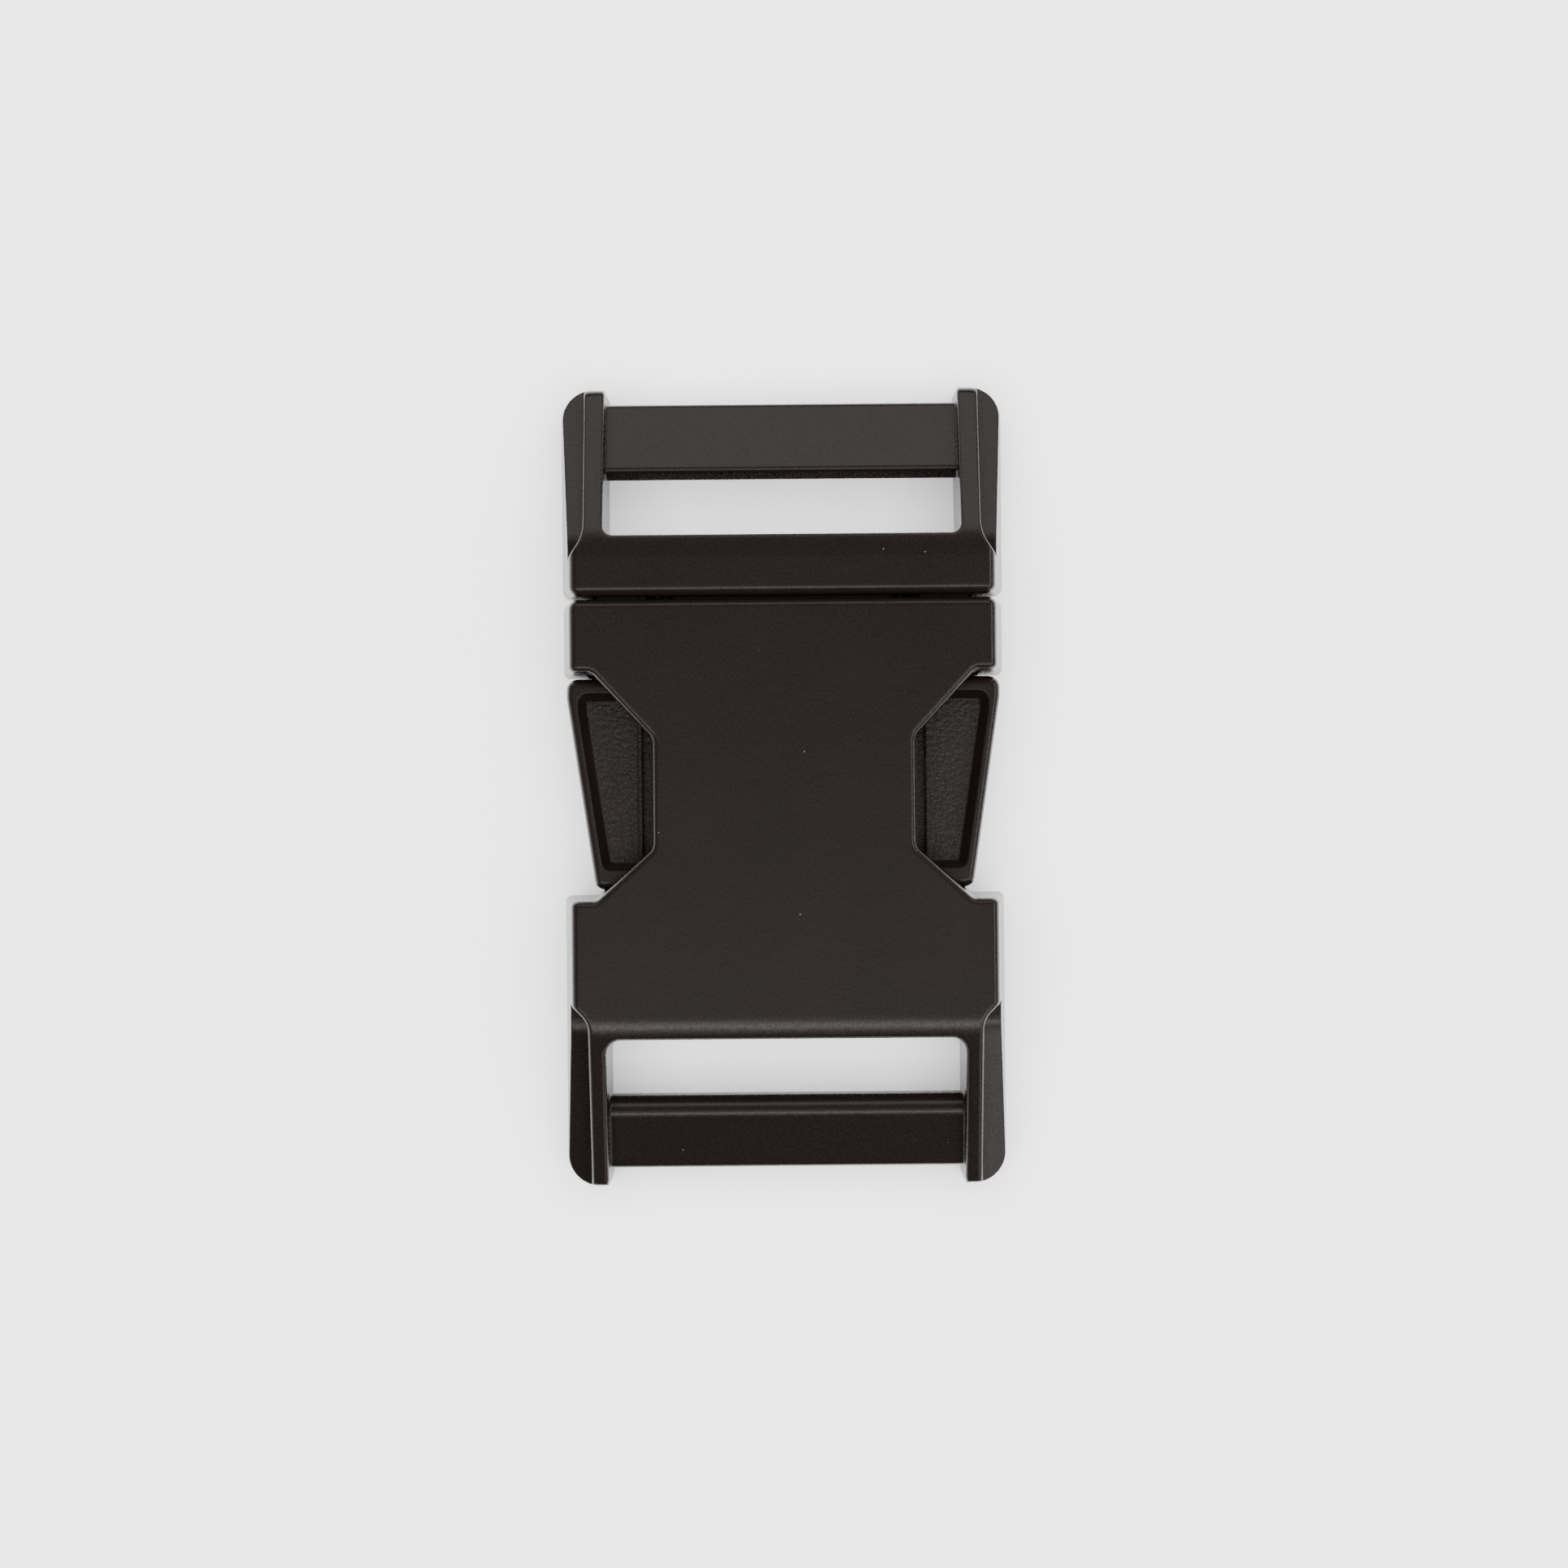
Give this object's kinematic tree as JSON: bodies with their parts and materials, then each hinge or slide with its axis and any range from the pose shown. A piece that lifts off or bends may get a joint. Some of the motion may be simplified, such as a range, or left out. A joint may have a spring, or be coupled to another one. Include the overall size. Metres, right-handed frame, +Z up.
{
  "type": "side release buckle",
  "caption": "Black coated die-cast side release buckle for 25 mm webbing, fastened: hourglass socket, plug with sprung side latches, and a strap slot with a recessed bar at each end.",
  "frame": {"origin": "under the middle of the buckle, on the surface that its four rail tips rest on", "axes": "+X to the right across the width seen from the front, +Y along the strap towards the plug half, +Z up out of the front face"},
  "size_m": [0.0326, 0.059, 0.0096],
  "materials": {
    "coated_zinc": "semi-gloss black coat",
    "coated_zinc_latch": "semi-gloss black coat, coarse cast floor in the pockets",
    "pin_steel": "turned",
    "spring_steel": "drawn wire"
  },
  "bodies": {
    "buckle": {"female_frame": "coated_zinc", "male_frame": "coated_zinc", "pivot_pin_left": "pin_steel", "pivot_pin_right": "pin_steel", "spring_left": "spring_steel", "spring_right": "spring_steel"},
    "left_lever": {"latch_left": "coated_zinc_latch"},
    "right_lever": {"latch_right": "coated_zinc_latch"}
  },
  "joints": [
    {"name": "left_press", "type": "hinge", "parent": "buckle", "child": "left_lever", "pos_m": [-0.0113, 0.0158, 0.0056], "axis": [0, 0, 1], "range_deg": [0, 12], "stiffness_Nm_per_rad": 0.3, "springref_deg": -8.59, "deforming": ["spring_left"]},
    {"name": "right_press", "type": "hinge", "parent": "buckle", "child": "right_lever", "pos_m": [0.0113, 0.0158, 0.0056], "axis": [0, 0, -1], "range_deg": [0, 12], "stiffness_Nm_per_rad": 0.3, "springref_deg": -8.59, "deforming": ["spring_right"]}
  ]
}
